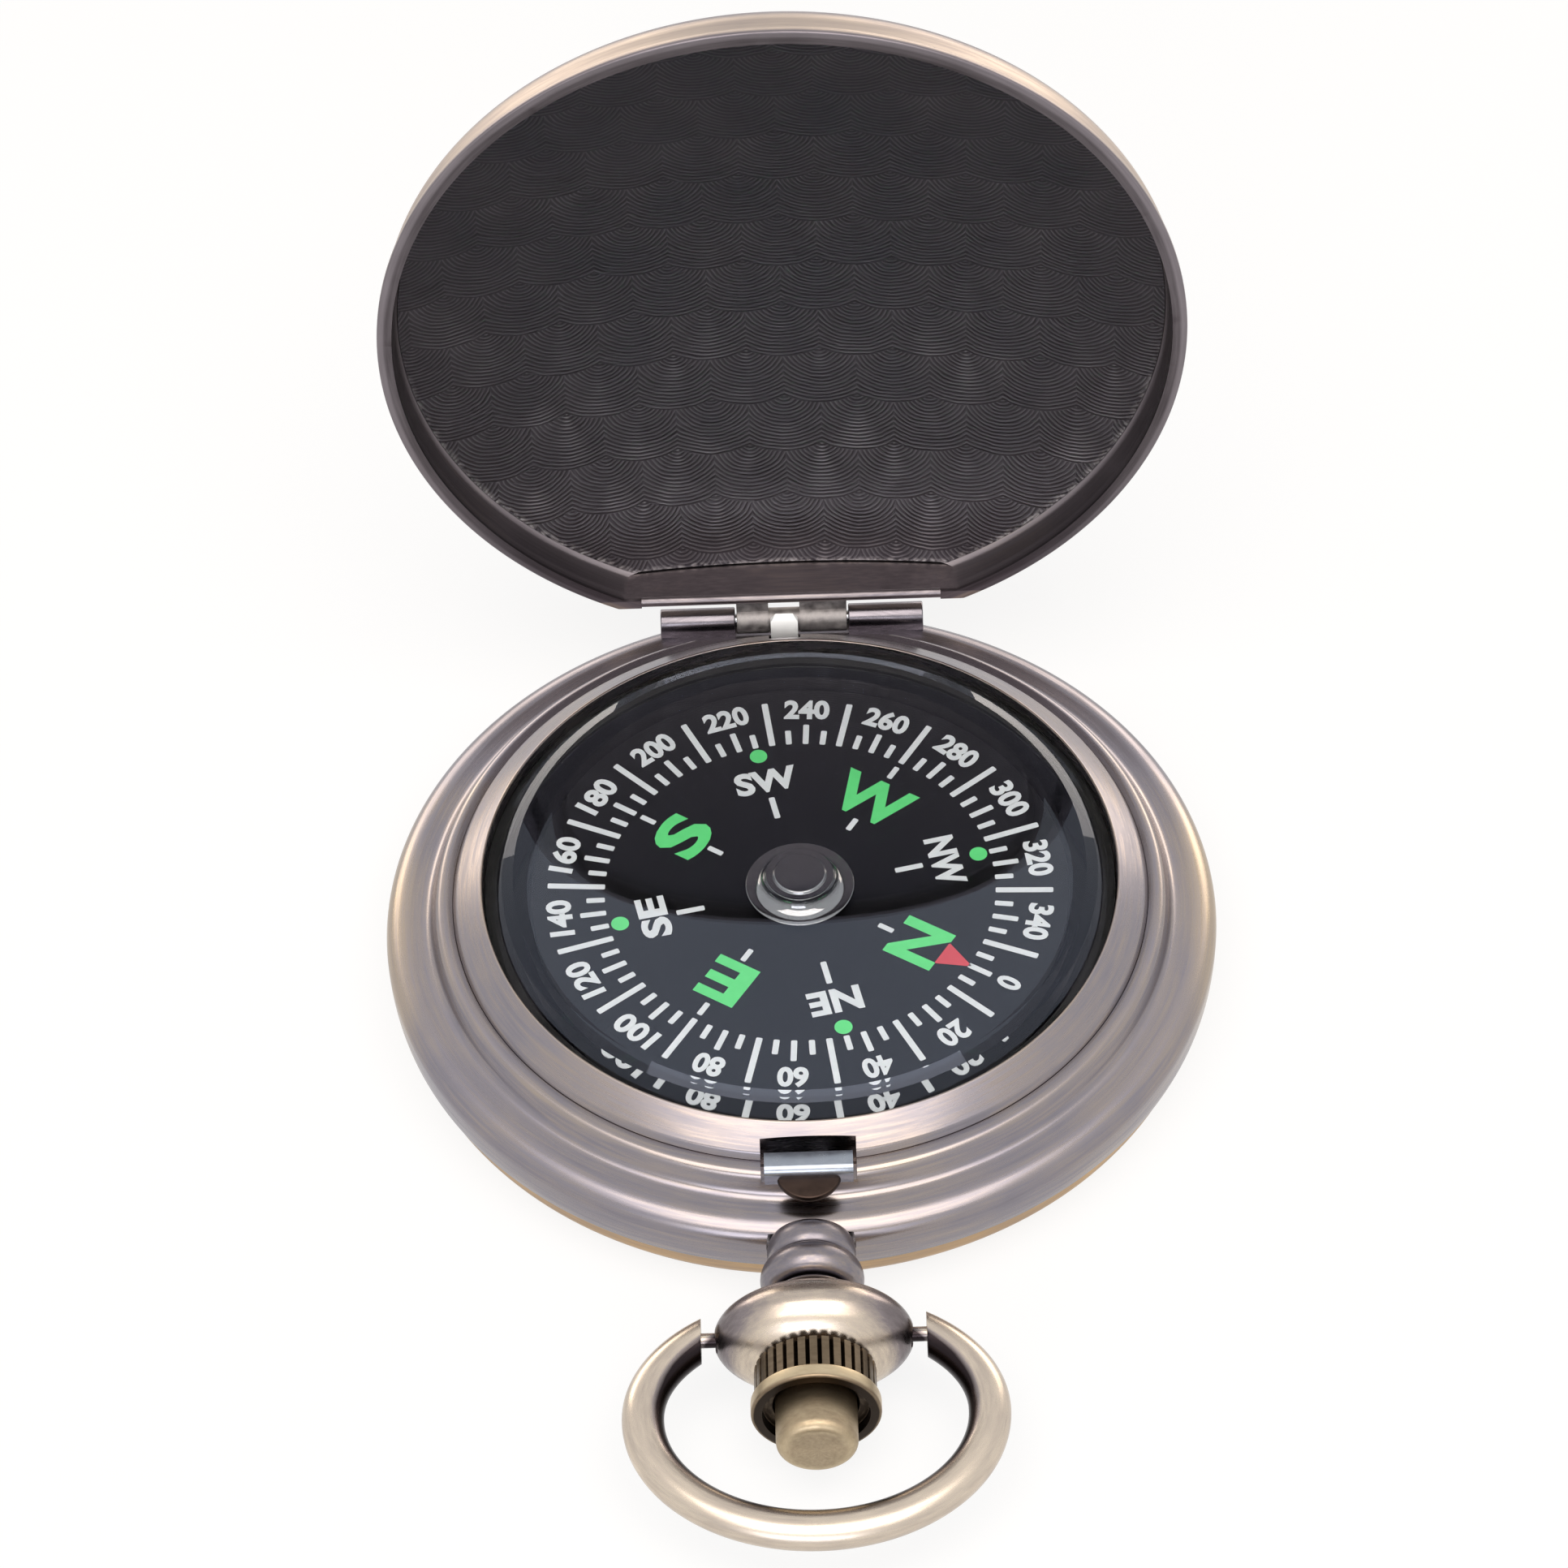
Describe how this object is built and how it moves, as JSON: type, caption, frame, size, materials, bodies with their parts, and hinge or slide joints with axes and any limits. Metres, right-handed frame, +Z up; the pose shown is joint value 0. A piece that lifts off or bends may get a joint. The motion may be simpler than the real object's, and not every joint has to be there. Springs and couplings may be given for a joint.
{
  "type": "pocket watch compass",
  "caption": "Pocket compass in a hunter-style pocket watch case: sprung hinged lid, domed crystal, floating dial card, push-button crown and swinging bow.",
  "frame": {"origin": "centre of the flat back that the case lies on, on the axis of the case", "axes": "+Z up through the crystal, +Y from the pendant to the hinge, +X to the right of a viewer who faces the open lid"},
  "size_m": [0.047, 0.0709, 0.0511],
  "materials": {
    "case_brass": "brushed antique brass, darkened in the hollows and rubbed bright on the edges",
    "crown_brass": "brushed antique brass, a little yellower than the case",
    "lid_plate": "blackened plate with engine-turned overlapping arcs",
    "crystal": "clear polished dome with a bevelled edge",
    "gasket": "black rubber",
    "capsule": "black moulded plastic",
    "card": "satin black enamel with white, green and red print",
    "magnet": "bare bar magnet",
    "hub_chrome": "polished chrome",
    "jewel": "polished synthetic jewel",
    "steel": "bright steel"
  },
  "bodies": {
    "case": {"back_cover": "case_brass", "case_body": "case_brass", "bezel_ring": "case_brass", "crystal": "crystal", "crystal_gasket": "gasket", "capsule_cup": "capsule", "capsule_holder": "capsule", "pivot_post": "steel", "hinge_pin": "steel", "lid_spring": "steel", "lid_spring_screw": "steel", "latch_spring": "steel", "latch_spring_screw": "steel", "pendant_neck": "case_brass", "pendant_bulb": "case_brass", "crown_sleeve": "crown_brass", "button_spring": "steel"},
    "lid": {"lid_shell": "case_brass", "lid_inner_plate": "lid_plate"},
    "card": {"compass_card": "card", "card_magnet": "magnet", "hub_cap": "hub_chrome", "jewel_cup": "jewel"},
    "button": {"push_button": "crown_brass", "push_stem": "steel", "stem_retainer": "steel"},
    "latch": {"latch_bolt": "steel"},
    "bow": {"bow_ring": "case_brass"}
  },
  "joints": [
    {"name": "lid_hinge", "type": "hinge", "parent": "case", "child": "lid", "pos_m": [0, 0.02186, 0.0065], "axis": [1, 0, 0], "range_deg": [0, 91], "stiffness_Nm_per_rad": 0.003, "springref_deg": -20.05},
    {"name": "card_spin", "type": "hinge", "parent": "case", "child": "card", "pos_m": [0, 0, 0.0065], "axis": [0, 0, 1], "continuous": true},
    {"name": "button_press", "type": "slide", "parent": "case", "child": "button", "axis": [0, 1, 0], "range_m": [0, 0.0008], "stiffness_N_per_m": 200, "springref_m": -0.002, "deforming": ["button_spring"]},
    {"name": "latch_retract", "type": "slide", "parent": "case", "child": "latch", "axis": [0, 1, 0], "range_m": [0, 0.0008], "deforming": ["latch_spring"]},
    {"name": "bow_swing", "type": "hinge", "parent": "case", "child": "bow", "pos_m": [0, -0.02945, 0.0049], "axis": [1, 0, 0], "range_deg": [-120, 120]}
  ],
  "couplings": [
    {"joint": "latch_retract", "follows": "button_press", "ratio": 1}
  ]
}
